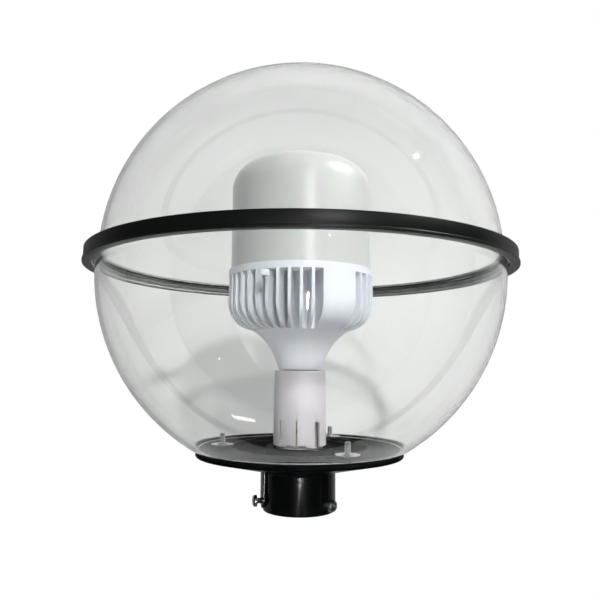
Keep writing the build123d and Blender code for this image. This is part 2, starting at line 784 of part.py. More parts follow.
# Lamp housing: neck, bell, rounded shoulder with radial fins and a plain panel on two sides
bell_via_h = neck_h + bell_mid_rise
shoulder_via_h = bell_top_h + shoulder_mid_rise
cavity_low_h = bell_top_h + cavity_low_rise
neck_bore_r = cap_top_r + running_gap
throat_r = neck_r - housing_wall
slot_pitch = 360 / slot_pitch_count
half_pitch = radians(slot_pitch / 2)
slot_reach_r = housing_r + overrun
panel_step = slot_pitch_count // 2
panel_half = slots_in_panel // 2
open_slots = [step for step in range(slot_pitch_count)
              if panel_half < step % panel_step < panel_step - panel_half]
with BuildPart() as bulb_housing:
    with BuildSketch(Plane.XZ):
        with BuildLine():
            Polyline((neck_bore_r, neck_low_h), (neck_low_r, neck_low_h), (neck_r, neck_h))
            ThreePointArc((neck_r, neck_h), (bell_mid_r, bell_via_h), (bell_top_r, bell_top_h))
            ThreePointArc(
                (bell_top_r, bell_top_h),
                (shoulder_mid_r, shoulder_via_h),
                (housing_r, shoulder_top_h),
            )
            Polyline(
                (housing_r, shoulder_top_h),
                (housing_r, housing_top_h),
                (housing_r - rim_wall, housing_top_h),
                (housing_r - rim_wall, seat_h),
                (cavity_r, seat_h),
                (cavity_r, cavity_low_h),
            )
            ThreePointArc(
                (cavity_r, cavity_low_h),
                (bell_mid_r - housing_wall, bell_via_h + housing_wall),
                (throat_r, cap_top_h + housing_wall),
            )
            Polyline(
                (throat_r, cap_top_h + housing_wall),
                (neck_bore_r, cap_top_h),
                (neck_bore_r, neck_low_h),
            )
        make_face()
    revolve(axis=Axis.Z)
    slot_low = slot_core_r * tan(half_pitch) - fin_t / 2 / cos(half_pitch)
    slot_high = slot_reach_r * tan(half_pitch) - fin_t / 2 / cos(half_pitch)
    with BuildSketch(Plane.XY.offset(slot_top_h)):
        for step in open_slots:
            with Locations(Location((0, 0, 0), (0, 0, panel_angle + step * slot_pitch))):
                Polygon(
                    (slot_core_r, -slot_low),
                    (slot_reach_r, -slot_high),
                    (slot_reach_r, slot_high),
                    (slot_core_r, slot_low),
                    align=None,
                )
    extrude(amount=-(slot_top_h - bell_top_h + slot_run_out), mode=Mode.SUBTRACT)
    with BuildSketch(Plane.XY.offset(seat_h)):
        with PolarLocations(board_screw_spread, 2, start_angle=panel_angle):
            Circle(board_screw_d / 2)
    extrude(amount=-board_screw_length, mode=Mode.SUBTRACT)
save(bulb_housing.part, "bulb_housing")

# Aluminium core: a cup pressed into the housing, flanged to take the light board
core_r = cavity_r - core_gap
with BuildPart() as bulb_core:
    turned(
        (core_r, seat_h - core_depth),
        (core_r, seat_h),
        (core_flange_r, seat_h),
        (core_flange_r, led_board_h),
        (cup_r, led_board_h),
        (cup_r, seat_h - core_depth),
    )
    with BuildSketch(Plane.XY.offset(seat_h)):
        with PolarLocations(board_screw_spread, 2, start_angle=panel_angle):
            Circle(board_screw_d / 2 + loose_gap)
    extrude(amount=core_flange_t, mode=Mode.SUBTRACT)
save(bulb_core.part, "bulb_core")

# Light board: an aluminium disc on the core's flange
with BuildPart() as led_board:
    with BuildSketch(Plane.XY.offset(led_board_h)):
        Circle(led_board_r)
        with PolarLocations(board_screw_spread, 2, start_angle=panel_angle):
            Circle(board_screw_d / 2 + loose_gap, mode=Mode.SUBTRACT)
    extrude(amount=led_board_t)
save(led_board.part, "led_board")

# Light chips in rings on the board
with BuildPart() as led_chips:
    with BuildSketch(Plane.XY.offset(led_board_top_h)):
        for count, share in led_rings:
            with PolarLocations(led_board_r * share, count, start_angle=panel_angle + 180 / count):
                Rectangle(led_width, led_length)
    extrude(amount=led_t)
save(led_chips.part, "led_chips")

# Screws that hold the board and the core down on the housing
with BuildPart() as board_screws:
    with BuildSketch(Plane.XY.offset(led_board_top_h - board_screw_length)):
        with PolarLocations(board_screw_spread, 2, start_angle=panel_angle):
            Circle(board_screw_d / 2 - running_gap)
    extrude(amount=board_screw_length)
    with BuildSketch(Plane.XY.offset(led_board_top_h)):
        with PolarLocations(board_screw_spread, 2, start_angle=panel_angle):
            Circle(board_screw_head_d / 2)
    extrude(amount=board_screw_head_t)
    fillet(edges().group_by(Axis.Z)[-1], board_screw_head_t / 2)
save(board_screws.part, "board_screws")

# Driver board: an upright card in the core's cup with a tail down the bell
driver_top_h = seat_h - driver_drop
driver_low_h = driver_top_h - driver_height
driver_tail_h = driver_low_h - driver_tail_height
driver_half = sqrt(cup_r**2 - (driver_t / 2)**2) - driver_gap
with BuildPart() as driver_board:
    with BuildSketch(Plane.XZ):
        with Locations((0, driver_low_h)):
            Rectangle(2 * driver_half, driver_height, align=(Align.CENTER, Align.MIN))
        with Locations((0, driver_tail_h)):
            Rectangle(driver_tail_width, driver_tail_height, align=(Align.CENTER, Align.MIN))
    extrude(amount=driver_t / 2, both=True)
save(driver_board.part, "driver_board")

# Capacitors standing against the driver board's face
with BuildPart() as driver_capacitors:
    with BuildSketch(Plane.XY.offset(driver_low_h)):
        with Locations(
            (-capacitor_side, -driver_t / 2 - running_gap - capacitor_d / 2),
            (capacitor_side, driver_t / 2 + running_gap + capacitor_d / 2),
        ):
            Circle(capacitor_d / 2)
    extrude(amount=capacitor_height)
    fillet(edges().filter_by(GeomType.CIRCLE), capacitor_fillet)
save(driver_capacitors.part, "driver_capacitors")

# Transformer on the driver board: two flanges and a wound neck between them
with BuildPart() as driver_transformer:
    with BuildSketch(Plane.XZ.offset(driver_t / 2)):
        with Locations((transformer_width / 2, driver_low_h + driver_height / 2)):
            Rectangle(transformer_width, transformer_height)
    extrude(amount=transformer_depth)
    with BuildSketch(Plane.XZ.offset(driver_t / 2 + transformer_neck)):
        with Locations((transformer_width / 2, driver_low_h + driver_height / 2)):
            Rectangle(transformer_width, transformer_height)
            Rectangle(
                transformer_width - 2 * transformer_neck,
                transformer_height - 2 * transformer_neck,
                mode=Mode.SUBTRACT,
            )
    extrude(amount=transformer_depth - 2 * transformer_neck, mode=Mode.SUBTRACT)
save(driver_transformer.part, "driver_transformer")

# Wires from the driver board up to the light board and down to the cap
with BuildPart() as bulb_wires:
    with BuildSketch(Plane.XY.offset(driver_top_h)):
        with Locations((-wire_side, 0), (wire_side, 0)):
            Circle(wire_d / 2)
    extrude(amount=led_board_h - driver_top_h)
    with BuildSketch(Plane.XY.offset(cap_low_h + insulator_seat_t)):
        with Locations((-tail_wire_side, 0), (tail_wire_side, 0)):
            Circle(wire_d / 2)
    extrude(amount=driver_tail_h - cap_low_h - insulator_seat_t)
save(bulb_wires.part, "bulb_wires")

# Milky diffuser: a straight wall, a rounded corner and a shallow crown, its skirt in the rim
diffuser_low_h = seat_h + diffuser_seat_gap
diffuser_skirt_r = housing_r - rim_wall - diffuser_skirt_gap
corner_centre_r = diffuser_r - diffuser_corner_r
crown_centre_h = diffuser_top_h - diffuser_crown_r
crown_to_corner = diffuser_crown_r - diffuser_corner_r
corner_centre_h = crown_centre_h + sqrt(crown_to_corner**2 - corner_centre_r**2)
crown_angle = atan2(corner_centre_h - crown_centre_h, corner_centre_r)


def crown_point(radius, angle):
    """Point of the crown's arc, of the given radius, at an angle from the level."""
    return (radius * cos(angle), crown_centre_h + radius * sin(angle))


def corner_point(radius, angle):
    """Point of the corner's arc, of the given radius, at an angle from the level."""
    return (corner_centre_r + radius * cos(angle), corner_centre_h + radius * sin(angle))


def diffuser_edge(thinning):
    """Corner arc and crown arc of the diffuser, this far inside its outer face."""
    corner_r = diffuser_corner_r - thinning
    crown_r = diffuser_crown_r - thinning
    ThreePointArc(
        corner_point(corner_r, 0),
        corner_point(corner_r, crown_angle / 2),
        corner_point(corner_r, crown_angle),
    )
    ThreePointArc(
        crown_point(crown_r, crown_angle),
        crown_point(crown_r, (crown_angle + pi / 2) / 2),
        crown_point(crown_r, pi / 2),
    )


with BuildPart() as bulb_diffuser:
    with BuildSketch(Plane.XZ):
        with BuildLine():
            diffuser_edge(0)
            diffuser_edge(diffuser_wall)
            Line((0, diffuser_top_h), (0, diffuser_top_h - diffuser_wall))
            Polyline(
                (diffuser_r - diffuser_wall, corner_centre_h),
                (diffuser_r - diffuser_wall, diffuser_low_h),
                (diffuser_skirt_r, diffuser_low_h),
                (diffuser_skirt_r, housing_top_h),
                (diffuser_r, housing_top_h),
                (diffuser_r, corner_centre_h),
            )
        make_face()
    revolve(axis=Axis.Z)
save(bulb_diffuser.part, "bulb_diffuser")

print("height", round(crown_h), "ring", round(2 * (ring_r + ring_lip)), "lamp top", round(diffuser_top_h))
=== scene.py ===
from math import asin, atan2, cos, degrees, pi, radians, sqrt

import bmesh
import bpy
from mathutils import Matrix, Vector


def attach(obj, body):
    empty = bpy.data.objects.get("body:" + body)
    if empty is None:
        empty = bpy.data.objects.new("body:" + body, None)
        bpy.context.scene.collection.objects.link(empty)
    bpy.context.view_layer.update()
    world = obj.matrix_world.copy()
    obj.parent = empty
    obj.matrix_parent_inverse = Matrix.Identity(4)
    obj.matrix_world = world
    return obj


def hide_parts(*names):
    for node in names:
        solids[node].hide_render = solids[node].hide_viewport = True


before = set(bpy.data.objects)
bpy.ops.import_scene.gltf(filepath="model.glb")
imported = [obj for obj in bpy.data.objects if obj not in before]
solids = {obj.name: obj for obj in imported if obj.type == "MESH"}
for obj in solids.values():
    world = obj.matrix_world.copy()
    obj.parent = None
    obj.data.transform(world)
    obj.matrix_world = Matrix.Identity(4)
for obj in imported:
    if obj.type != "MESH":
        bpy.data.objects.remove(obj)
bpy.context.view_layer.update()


# Base
# The base is one black moulding in gloss plastic: a sleeve for the post, a
# flared underside, a ledge for the globe and a collar for the lampholder.
# Its skin has the fine orange peel of a moulding, seen in the sleeve's shine.
MM = 0.001


def node(tree, kind, sockets=None, **settings):
    """Adds a shader node, with its settings and the values of its sockets."""
    made = tree.nodes.new("ShaderNode" + kind)
    for key, value in settings.items():
        setattr(made, key, value)
    for key, value in (sockets or {}).items():
        made.inputs[key].default_value = value
    return made


def join(tree, *pairs):
    """Links each pair of (node, output) and (node, input)."""
    for (giver, output), (taker, socket) in pairs:
        tree.links.new(giver.outputs[output], taker.inputs[socket])


def group_of(name, takes, gives):
    """Starts a shader node group with named inputs and outputs."""
    tree = bpy.data.node_groups.new(name, "ShaderNodeTree")
    for label, kind, start in takes:
        socket = tree.interface.new_socket(label, in_out="INPUT", socket_type="NodeSocket" + kind)
        socket.default_value = start
    for label, kind in gives:
        tree.interface.new_socket(label, in_out="OUTPUT", socket_type="NodeSocket" + kind)
    return tree, tree.nodes.new("NodeGroupInput"), tree.nodes.new("NodeGroupOutput")


skin, asked, given = group_of(
    "moulded skin",
    [("Colour", "Color", (0.5, 0.5, 0.5, 1)), ("Mottle", "Float", 0.1), ("Roughness", "Float", 0.3),
     ("Spread", "Float", 0.05), ("Grain", "Float", 900), ("Drift", "Float", 20)],
    [("Colour", "Color"), ("Roughness", "Float"), ("Height", "Float")],
)
place = node(skin, "TexCoord")
grain = node(skin, "TexNoise", {"Detail": 2.0, "Roughness": 0.55})
drift = node(skin, "TexNoise", {"Detail": 3.0, "Roughness": 0.6})
centred = node(skin, "Math", {1: 0.5}, operation="SUBTRACT")
shade = node(skin, "Math", {2: 1.0}, operation="MULTIPLY_ADD")
tint = node(skin, "VectorMath", operation="SCALE")
rough = node(skin, "Math", operation="MULTIPLY_ADD", use_clamp=True)
join(
    skin,
    ((place, "Object"), (grain, "Vector")), ((place, "Object"), (drift, "Vector")),
    ((asked, "Grain"), (grain, "Scale")), ((asked, "Drift"), (drift, "Scale")),
    ((drift, 0), (centred, 0)), ((centred, 0), (shade, 0)), ((asked, "Mottle"), (shade, 1)),
    ((asked, "Colour"), (tint, 0)), ((shade, 0), (tint, "Scale")), ((tint, 0), (given, "Colour")),
    ((centred, 0), (rough, 0)), ((asked, "Spread"), (rough, 1)), ((asked, "Roughness"), (rough, 2)),
    ((rough, 0), (given, "Roughness")), ((grain, 0), (given, "Height")),
)

dust, asked, given = group_of(
    "settled dust",
    [("Colour", "Color", (0.5, 0.5, 0.5, 1)), ("Roughness", "Float", 0.3), ("Amount", "Float", 0.2),
     ("Dust", "Color", (0.5, 0.49, 0.46, 1))],
    [("Colour", "Color"), ("Roughness", "Float")],
)
place = node(dust, "TexCoord")
facing = node(dust, "SeparateXYZ")
upward = node(dust, "MapRange", {"From Min": 0.3, "From Max": 0.95}, interpolation_type="SMOOTHSTEP")
patches = node(dust, "TexNoise", {"Scale": 70.0, "Detail": 6.0, "Roughness": 0.7})
specks = node(dust, "MapRange", {"From Min": 0.42, "From Max": 0.75}, interpolation_type="SMOOTHSTEP")
share = node(dust, "Math", operation="MULTIPLY")
film = node(dust, "Math", operation="MULTIPLY", use_clamp=True)
laid = node(dust, "Mix", data_type="RGBA")
dull = node(dust, "MapRange", {"To Max": 0.85})
join(
    dust,
    ((place, "Normal"), (facing, 0)), ((facing, "Z"), (upward, "Value")),
    ((place, "Object"), (patches, "Vector")), ((patches, 0), (specks, "Value")),
    ((upward, 0), (share, 0)), ((specks, 0), (share, 1)),
    ((share, 0), (film, 0)), ((asked, "Amount"), (film, 1)),
    ((film, 0), (laid, "Factor")), ((asked, "Colour"), (laid, "A")), ((asked, "Dust"), (laid, "B")),
    ((film, 0), (dull, "Value")), ((asked, "Roughness"), (dull, "To Min")),
    ((laid, "Result"), (given, "Colour")), ((dull, 0), (given, "Roughness")),
)


def finish(name, colour, roughness, mottle=0.08, spread=0.06, grain=900, drift=25, peel=0.02, dusty=0,
           shader=None):
    """A material of moulded or machined skin: mottled colour and shine, fine relief and some dust."""
    material = bpy.data.materials.new(name)
    material.use_nodes = True
    tree = material.node_tree
    surface = tree.nodes["Principled BSDF"]
    for key, value in (shader or {}).items():
        surface.inputs[key].default_value = value
    body = node(tree, "Group", {"Colour": (*colour, 1), "Mottle": mottle, "Roughness": roughness,
                                "Spread": spread, "Grain": grain, "Drift": drift}, node_tree=skin)
    relief = node(tree, "Bump", {"Strength": 1.0, "Distance": peel * MM})
    join(tree, ((body, "Height"), (relief, "Height")), ((relief, 0), (surface, "Normal")))
    top = body
    if dusty:
        top = node(tree, "Group", {"Amount": dusty}, node_tree=dust)
        join(tree, ((body, "Colour"), (top, "Colour")), ((body, "Roughness"), (top, "Roughness")))
    join(tree, ((top, "Colour"), (surface, "Base Color")), ((top, "Roughness"), (surface, "Roughness")))
    return material


WALL_LEAN, WALL_TURN, SHARP_STEP = 0.3, cos(radians(8)), 0.25


def shade_round(mesh):
    """Lets the walls that go round the axis shade as true rounds, however their faces are cut up."""
    corners = [Vector(corner.vector) for corner in mesh.corner_normals]
    for face in mesh.polygons:
        flat = Vector((face.normal.x, face.normal.y, 0))
        out = Vector((face.center.x, face.center.y, 0))
        if flat.length < WALL_LEAN or out.length < MM:
            continue
        if abs(flat.normalized().dot(out.normalized())) < WALL_TURN:
            continue
        side = 1 if flat.dot(out) > 0 else -1
        for corner in face.loop_indices:
            spot = mesh.vertices[mesh.loops[corner].vertex_index].co
            level = corners[corner].z
            if abs(level - face.normal.z) > SHARP_STEP:
                level = face.normal.z
            away = Vector((spot.x, spot.y, 0)).normalized() * side * sqrt(max(0, 1 - level * level))
            corners[corner] = Vector((away.x, away.y, level))
    mesh.normals_split_custom_set(corners)


def built(bm, name, material, body, replaced=(), sharp=32, turned_walls=False):
    """Turns a mesh drawn in millimetres into a piece that rides on its body, shaded smooth."""
    bmesh.ops.scale(bm, vec=(MM, MM, MM), verts=bm.verts)
    mesh = bpy.data.meshes.new(name)
    bm.to_mesh(mesh)
    bm.free()
    mesh.shade_smooth()
    mesh.set_sharp_from_angle(angle=radians(sharp))
    if turned_walls:
        shade_round(mesh)
    mesh.materials.append(material)
    piece = bpy.data.objects.new(name, mesh)
    bpy.context.scene.collection.objects.link(piece)
    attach(piece, body)
    if replaced:
        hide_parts(*replaced)
    return piece


WELD, FLAT = 0.002, radians(0.5)


def from_solid(name):
    """A copy of a solid's triangles in millimetres, welded, with its flat faces joined."""
    bm = bmesh.new()
    bm.from_mesh(solids[name].data)
    bmesh.ops.scale(bm, vec=(1 / MM,) * 3, verts=bm.verts)
    bmesh.ops.remove_doubles(bm, verts=bm.verts, dist=WELD)
    bmesh.ops.dissolve_limit(bm, angle_limit=FLAT, verts=bm.verts, edges=bm.edges)
    return bm


def refinish(piece, material, wanted):
    """Gives a second finish to the faces of a piece that a rule picks."""
    piece.data.materials.append(material)
    for face in piece.data.polygons:
        if wanted(face):
            face.material_index = len(piece.data.materials) - 1


base_black = finish("gloss_black_plastic", (0.0026, 0.0031, 0.0033), 0.19, mottle=0.5, spread=0.1,
                    grain=620, drift=45, peel=0.05, dusty=0.02, shader={"IOR": 1.46})
base = built(from_solid("base_plate"), "base", base_black, "base", ["base_plate"], sharp=28,
             turned_walls=True)
floor_black = base_black.copy()
floor_black.name = "gloss_black_plastic_floor"
floor_black.node_tree.nodes["Principled BSDF"].inputs["IOR"].default_value = 1.03
FLANGE_EDGE_R, LEVEL = 70, 0.9
refinish(base, floor_black,
         lambda face: face.normal.z > LEVEL or face.center.xy.length > FLANGE_EDGE_R * MM)

# Clamp screws
# Three zinc plated pan head screws with a cross recess go through the pads of
# the sleeve and grip the post. The plating is bright, with a slight grain.
zinc = finish("zinc_plate", (0.62, 0.63, 0.65), 0.2, mottle=0.25, spread=0.15, grain=2600, drift=400,
              peel=0.01, shader={"Metallic": 1.0})
for screw in ("clamp_screw_1", "clamp_screw_2", "clamp_screw_3"):
    built(from_solid(screw), f"{screw}_head", zinc, screw, [screw])


# Base seal
# A thin flat ring of black rubber sheet between the ledge and the globe's foot,
# punched for the three studs.
def paint(material, *names):
    """Gives a finish to the solids that keep their own shape."""
    for name in names:
        solids[name].data.materials.clear()
        solids[name].data.materials.append(material)


seal_black = finish("black_rubber", (0.007, 0.0075, 0.008), 0.55, mottle=0.4, spread=0.1, grain=1800,
                    peel=0.02, shader={"Specular IOR Level": 0.0})
paint(seal_black, "base_gasket")


# Lower hemisphere
# A clear acrylic shell with a flat foot on the base, a short straight skirt and
# an outward flange that the ring takes hold of. It is moulded in one piece, and
# its skin carries faint hairlines and a trace of haze.
def soften(bm, width, over=40, segments=2):
    """Rounds every edge of a mesh that turns by more than an angle."""
    edges = [e for e in bm.edges if len(e.link_faces) == 2 and e.calc_face_angle(0) > radians(over)]
    bmesh.ops.bevel(bm, geom=edges, offset=width, segments=segments, affect="EDGES", profile=0.5,
                    material=-1, clamp_overlap=True)


def start(bm, radius, height):
    """First point of a half outline, at a radius from the axis and a height."""
    return bm.verts.new((radius, 0, height))


def to(bm, point, radius, height):
    """Straight edge from a point of the outline to a new one."""
    new = bmesh.ops.extrude_vert_indiv(bm, verts=[point])["verts"][0]
    new.co = (radius, 0, height)
    return new


def swing(bm, point, centre, turn, steps):
    """Arc from a point of the outline round a centre, upwards where the turn is positive."""
    drawn = bmesh.ops.spin(bm, geom=[point], cent=(centre[0], 0, centre[1]), axis=(0, -1, 0),
                           angle=radians(turn), steps=steps)
    return next(v for v in drawn["geom_last"] if isinstance(v, bmesh.types.BMVert))


def turned(bm, last, first, steps=144):
    """Closes the outline and turns it about the globe's axis."""
    bm.edges.new((last, first))
    bmesh.ops.spin(bm, geom=bm.verts[:] + bm.edges[:], cent=(0, 0, 0), axis=(0, 0, 1), angle=2 * pi,
                   steps=steps, use_merge=True)
    bmesh.ops.remove_doubles(bm, verts=bm.verts, dist=0.001)
    bmesh.ops.recalc_face_normals(bm, faces=bm.faces)


scuffs, asked, given = group_of(
    "hairlines and haze",
    [("Roughness", "Float", 0.02), ("Haze", "Float", 0.05), ("Hairline", "Float", 0.2)],
    [("Roughness", "Float"), ("Height", "Float")],
)
place = node(scuffs, "TexCoord")
field = node(scuffs, "TexNoise", {"Scale": 16.0, "Detail": 1.0, "Distortion": 1.2})
line = node(scuffs, "MapRange", {"From Max": 0.0016, "To Min": 1.0, "To Max": 0.0})
away = node(scuffs, "Math", {1: 0.53}, operation="SUBTRACT")
near = node(scuffs, "Math", operation="ABSOLUTE")
where = node(scuffs, "TexNoise", {"Scale": 40.0, "Detail": 2.0})
seldom = node(scuffs, "MapRange", {"From Min": 0.6, "From Max": 0.7})
marks = node(scuffs, "Math", operation="MULTIPLY")
haze = node(scuffs, "TexNoise", {"Scale": 7.0, "Detail": 4.0, "Roughness": 0.6})
hazy = node(scuffs, "MapRange", {"From Min": 0.45, "From Max": 0.8}, interpolation_type="SMOOTHSTEP")
veil = node(scuffs, "Math", operation="MULTIPLY_ADD")
total = node(scuffs, "Math", operation="MULTIPLY_ADD", use_clamp=True)
join(
    scuffs,
    ((place, "Object"), (field, "Vector")), ((place, "Object"), (where, "Vector")),
    ((place, "Object"), (haze, "Vector")), ((field, 0), (away, 0)), ((away, 0), (near, 0)),
    ((near, 0), (line, "Value")), ((where, 0), (seldom, "Value")), ((line, 0), (marks, 0)),
    ((seldom, 0), (marks, 1)), ((haze, 0), (hazy, "Value")), ((hazy, 0), (veil, 0)),
    ((asked, "Haze"), (veil, 1)), ((asked, "Roughness"), (veil, 2)), ((marks, 0), (total, 0)),
    ((asked, "Hairline"), (total, 1)), ((veil, 0), (total, 2)), ((total, 0), (given, "Roughness")),
    ((marks, 0), (given, "Height")),
)
acrylic = bpy.data.materials.new("clear_acrylic")
acrylic.use_nodes = True
tree = acrylic.node_tree
surface = tree.nodes["Principled BSDF"]
surface.inputs["Transmission Weight"].default_value = 1.0
surface.inputs["IOR"].default_value = 1.49
wear = node(tree, "Group", {"Roughness": 0.0, "Haze": 0.02, "Hairline": 0.15}, node_tree=scuffs)
through = node(tree, "BsdfTransparent")
slant = node(tree, "LayerWeight", {"Blend": 0.5})
edge = node(tree, "MapRange", {"From Min": 0.74, "From Max": 1.0}, interpolation_type="SMOOTHSTEP")
passed = node(tree, "Mix", {"A": (0.975, 0.98, 0.975, 1), "B": (0.42, 0.42, 0.41, 1)}, data_type="RGBA")
# Painted shade: the glass is tinted darker where its surface is seen edge-on, drawing a dark outline round
# the globe.
painted_rim_shade = node(tree, "MapRange", {"From Min": 0.88, "From Max": 0.97}, interpolation_type="SMOOTHSTEP")
tinted = node(tree, "Mix", {"A": (0.955, 0.962, 0.955, 1), "B": (0.85, 0.86, 0.85, 1)}, data_type="RGBA")
path = node(tree, "LightPath")
lit = node(tree, "MixShader")
join(
    tree,
    ((slant, "Facing"), (edge, "Value")), ((edge, 0), (passed, "Factor")),
    ((passed, "Result"), (through, 0)),
    ((slant, "Facing"), (painted_rim_shade, "Value")), ((painted_rim_shade, 0), (tinted, "Factor")),
    ((tinted, "Result"), (surface, "Base Color")),
    ((wear, "Roughness"), (surface, "Roughness")), ((path, "Is Shadow Ray"), (lit, 0)),
    ((surface, 0), (lit, 1)), ((through, 0), (lit, 2)), ((lit, 0), (tree.nodes["Material Output"], 0)),
)
SHELL = 2.4
LOWER_R, LOWER_H, FOOT_H, MOUTH_R = 152.2, 174.27, 44.0, 51.0
FLANGE_R, FLANGE_H, EQUATOR_H = 156.4, 178.47, 180.87
DOME_STEPS, FOOT_ROUND, LIP_ROUND, CREASE = 44, 3.4, 0.3, 50
bm = bmesh.new()
first = start(bm, LOWER_R, LOWER_H)
foot_turn = degrees(asin((LOWER_H - FOOT_H) / LOWER_R))
foot = swing(bm, first, (0, LOWER_H), -foot_turn, DOME_STEPS)
mouth = to(bm, to(bm, foot, MOUTH_R, FOOT_H), MOUTH_R, FOOT_H + SHELL)
inner_r = LOWER_R - SHELL
floor_drop = LOWER_H - FOOT_H - SHELL
inner_foot = to(bm, mouth, sqrt(inner_r**2 - floor_drop**2), FOOT_H + SHELL)
skirt = swing(bm, inner_foot, (0, LOWER_H), degrees(asin(floor_drop / inner_r)), DOME_STEPS)
rim = to(bm, to(bm, skirt, inner_r, EQUATOR_H), FLANGE_R, EQUATOR_H)
flange = to(bm, to(bm, rim, FLANGE_R, FLANGE_H), LOWER_R, FLANGE_H)
bmesh.ops.bevel(bm, geom=[foot], offset=FOOT_ROUND, segments=6, affect="VERTICES", profile=0.5, material=-1)
turned(bm, flange, first)
soften(bm, LIP_ROUND, over=CREASE)
globe = built(bm, "lower_globe", acrylic, "base", ["lower_dome"])
acrylic_foot = acrylic.copy()
acrylic_foot.name = "clear_acrylic_foot"
acrylic_foot.node_tree.nodes["Principled BSDF"].inputs["IOR"].default_value = 1.01
FOOT_TOP_H, FLAT_LEVEL = FOOT_H + 2 * SHELL, 0.99
refinish(globe, acrylic_foot,
         lambda face: abs(face.normal.z) > FLAT_LEVEL and face.center.z < FOOT_TOP_H * MM)

# Studs and discs
# Three zinc plated screws stand up through the globe's foot, each with a thin
# push-on disc that presses the foot down on its seal.
for solid, name in (("dome_studs", "studs"), ("stud_discs", "discs")):
    built(from_solid(solid), name, zinc, "base", [solid])

# Ring, lower half
# A flat black band with a small lip outside, moulded in a fine satin texture.
# Its upstand goes inside the upper half, and it carries the globe's flanges.
ring_black = finish("satin_black_plastic", (0.004, 0.0045, 0.0045), 0.36, mottle=0.35, spread=0.12,
                    grain=1500, drift=30, peel=0.02, dusty=0.05, shader={"IOR": 1.38})
# Painted light: the walls that face the axis get a lighter grey copy of the black plastic, standing in for
# the light the ring's back band shows through the globe.
ring_inside_painted_light = finish("black_plastic_inside_painted_light", (0.22, 0.22, 0.215), 0.5, mottle=1.6, spread=0.2, grain=1500,
                   drift=110, peel=0.04)


INWARD = 0.7


def inner_wall(face):
    """Whether a face looks towards the globe's axis."""
    return face.normal.x * face.center.x + face.normal.y * face.center.y < -INWARD * face.center.xy.length


RING_R, RING_LOW_R, LIP, BAND, WALL, LOOSE = 160.0, 154.2, 0.8, 2.0, 2.2, 0.3
SOCKET_R, UPPER_LOW_H, RING_STEPS, LOWER_ROUND = 156.7, 182.07, 192, 0.35
bm = bmesh.new()
first = start(bm, RING_LOW_R, FLANGE_H - BAND)
corner = to(bm, to(bm, first, RING_R + LIP, FLANGE_H - BAND), RING_R + LIP, FLANGE_H)
upstand_r = RING_R - WALL - LOOSE
upstand = to(bm, to(bm, corner, upstand_r, FLANGE_H), upstand_r, UPPER_LOW_H)
socket = to(bm, to(bm, upstand, SOCKET_R, UPPER_LOW_H), SOCKET_R, FLANGE_H)
last = to(bm, socket, RING_LOW_R, FLANGE_H)
turned(bm, last, first, steps=RING_STEPS)
soften(bm, LOWER_ROUND, segments=3)
refinish(built(bm, "ring_lower_half", ring_black, "base", ["ring_lower"]), ring_inside_painted_light, inner_wall)

# Equator seal
# A ring of black foam rubber, cut flat, that lies between the flanges of the
# two hemispheres and keeps the rain out.
foam = finish("foam_rubber", (0.03, 0.03, 0.031), 0.8, mottle=0.4, spread=0.1, grain=2400, peel=0.08)
paint(foam, "equator_gasket")

# Ring, upper half
# The taller half of the ring: an outer wall and a narrow flat top that holds
# the upper hemisphere's flange down.
UPPER_R, UPPER_H, UPPER_TOP_H, RING_TOP_H, UPPER_ROUND = 150.4, 180.47, 184.47, 186.47, 0.45
bm = bmesh.new()
first = start(bm, RING_R - WALL, FLANGE_H)
outer = to(bm, to(bm, first, RING_R, FLANGE_H), RING_R, RING_TOP_H)
top = to(bm, outer, UPPER_R + LOOSE, RING_TOP_H)
last = to(bm, to(bm, top, UPPER_R + LOOSE, UPPER_TOP_H), RING_R - WALL, UPPER_TOP_H)
turned(bm, last, first, steps=RING_STEPS)
soften(bm, UPPER_ROUND, segments=3)
refinish(built(bm, "ring_upper_half", ring_black, "top_cover", ["ring_upper"]), ring_inside_painted_light, inner_wall)

# Upper hemisphere
# The other clear acrylic shell, moulded as one dome. Its outward flange lies
# under the ring's top and lifts off with it.
CROWN_STEPS = 56
bm = bmesh.new()
first = start(bm, sqrt(UPPER_R**2 - (UPPER_TOP_H - UPPER_H) ** 2), UPPER_TOP_H)
crown_turn = 90 - degrees(asin((UPPER_TOP_H - UPPER_H) / UPPER_R))
crown = swing(bm, first, (0, UPPER_H), crown_turn, CROWN_STEPS)
inner_r = UPPER_R - SHELL
under = to(bm, crown, 0, UPPER_H + inner_r)
inner_turn = degrees(asin((UPPER_LOW_H - UPPER_H) / inner_r)) - 90
rest = swing(bm, under, (0, UPPER_H), inner_turn, CROWN_STEPS)
last = to(bm, to(bm, rest, FLANGE_R, UPPER_LOW_H), FLANGE_R, UPPER_TOP_H)
axis_edge = [e for e in crown.link_edges if e.other_vert(crown) is under]
bmesh.ops.delete(bm, geom=axis_edge, context="EDGES_FACES")
turned(bm, last, first)
soften(bm, LIP_ROUND, over=CREASE)
built(bm, "upper_globe", acrylic, "top_cover", ["upper_dome"])

# Lampholder
# An off-white heat resisting plastic shell with a snap tab and a keyhole, on a
# moulded carrier. The live parts stand on a porcelain disc inside.
holder_white = finish("lampholder_plastic", (0.56, 0.54, 0.565), 0.46, mottle=0.06, spread=0.1, grain=1400,
                      drift=35, peel=0.02, shader={"Subsurface Weight": 0.05, "Subsurface Scale": 0.001})
built(from_solid("lampholder_shell"), "lampholder", holder_white, "base", ["lampholder_shell"],
      turned_walls=True)
paint(holder_white, "lampholder_carrier")
paint(zinc, "lampholder_fixing_screws", "terminal_screws")
porcelain = finish("glazed_porcelain", (0.80, 0.79, 0.75), 0.12, mottle=0.05, spread=0.05, grain=500,
                   peel=0.02, shader={"Coat Weight": 0.6})
paint(porcelain, "lampholder_insert")
brass = finish("plain_brass", (0.72, 0.53, 0.24), 0.3, mottle=0.2, spread=0.2, grain=2500, drift=200,
               peel=0.01, shader={"Metallic": 1.0})
paint(brass, "lampholder_terminals", "lampholder_contact")
